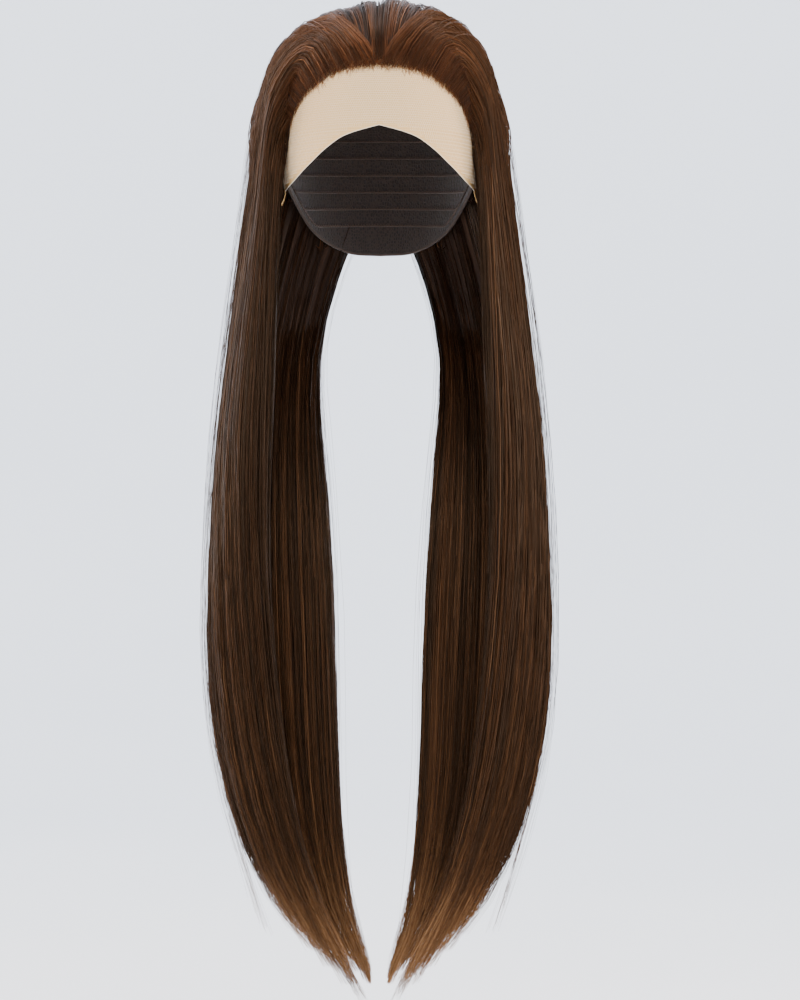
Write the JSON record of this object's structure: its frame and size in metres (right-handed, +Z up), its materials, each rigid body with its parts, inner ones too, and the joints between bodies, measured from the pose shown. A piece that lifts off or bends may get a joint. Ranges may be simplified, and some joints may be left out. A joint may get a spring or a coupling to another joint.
{
  "type": "lace front wig",
  "caption": "Long straight wig on a hollow cap, with a sheer lace forehead panel and hair drawn forward in two masses over the shoulders.",
  "frame": {"origin": "crown point of the head, where the inside of the cap sits on it", "axes": "+Z up, the face side looks to -Y, +X is the right side as seen from the front"},
  "size_m": [0.2686, 0.2422, 0.7843],
  "materials": {
    "hair": "smooth straight synthetic fibre, satin sheen",
    "cap_net": "knitted stretch net, matte",
    "lace": "fine hexagonal lace net, matte"
  },
  "bodies": {
    "root": {"crown_cap": "cap_net", "lace_front": "lace", "ear_tab_left": "lace", "ear_tab_right": "lace", "crown_hair_left": "hair", "crown_hair_right": "hair", "side_fall_left": "hair", "side_fall_right": "hair", "nape_fall_left": "hair", "nape_fall_right": "hair"}
  },
  "joints": []
}
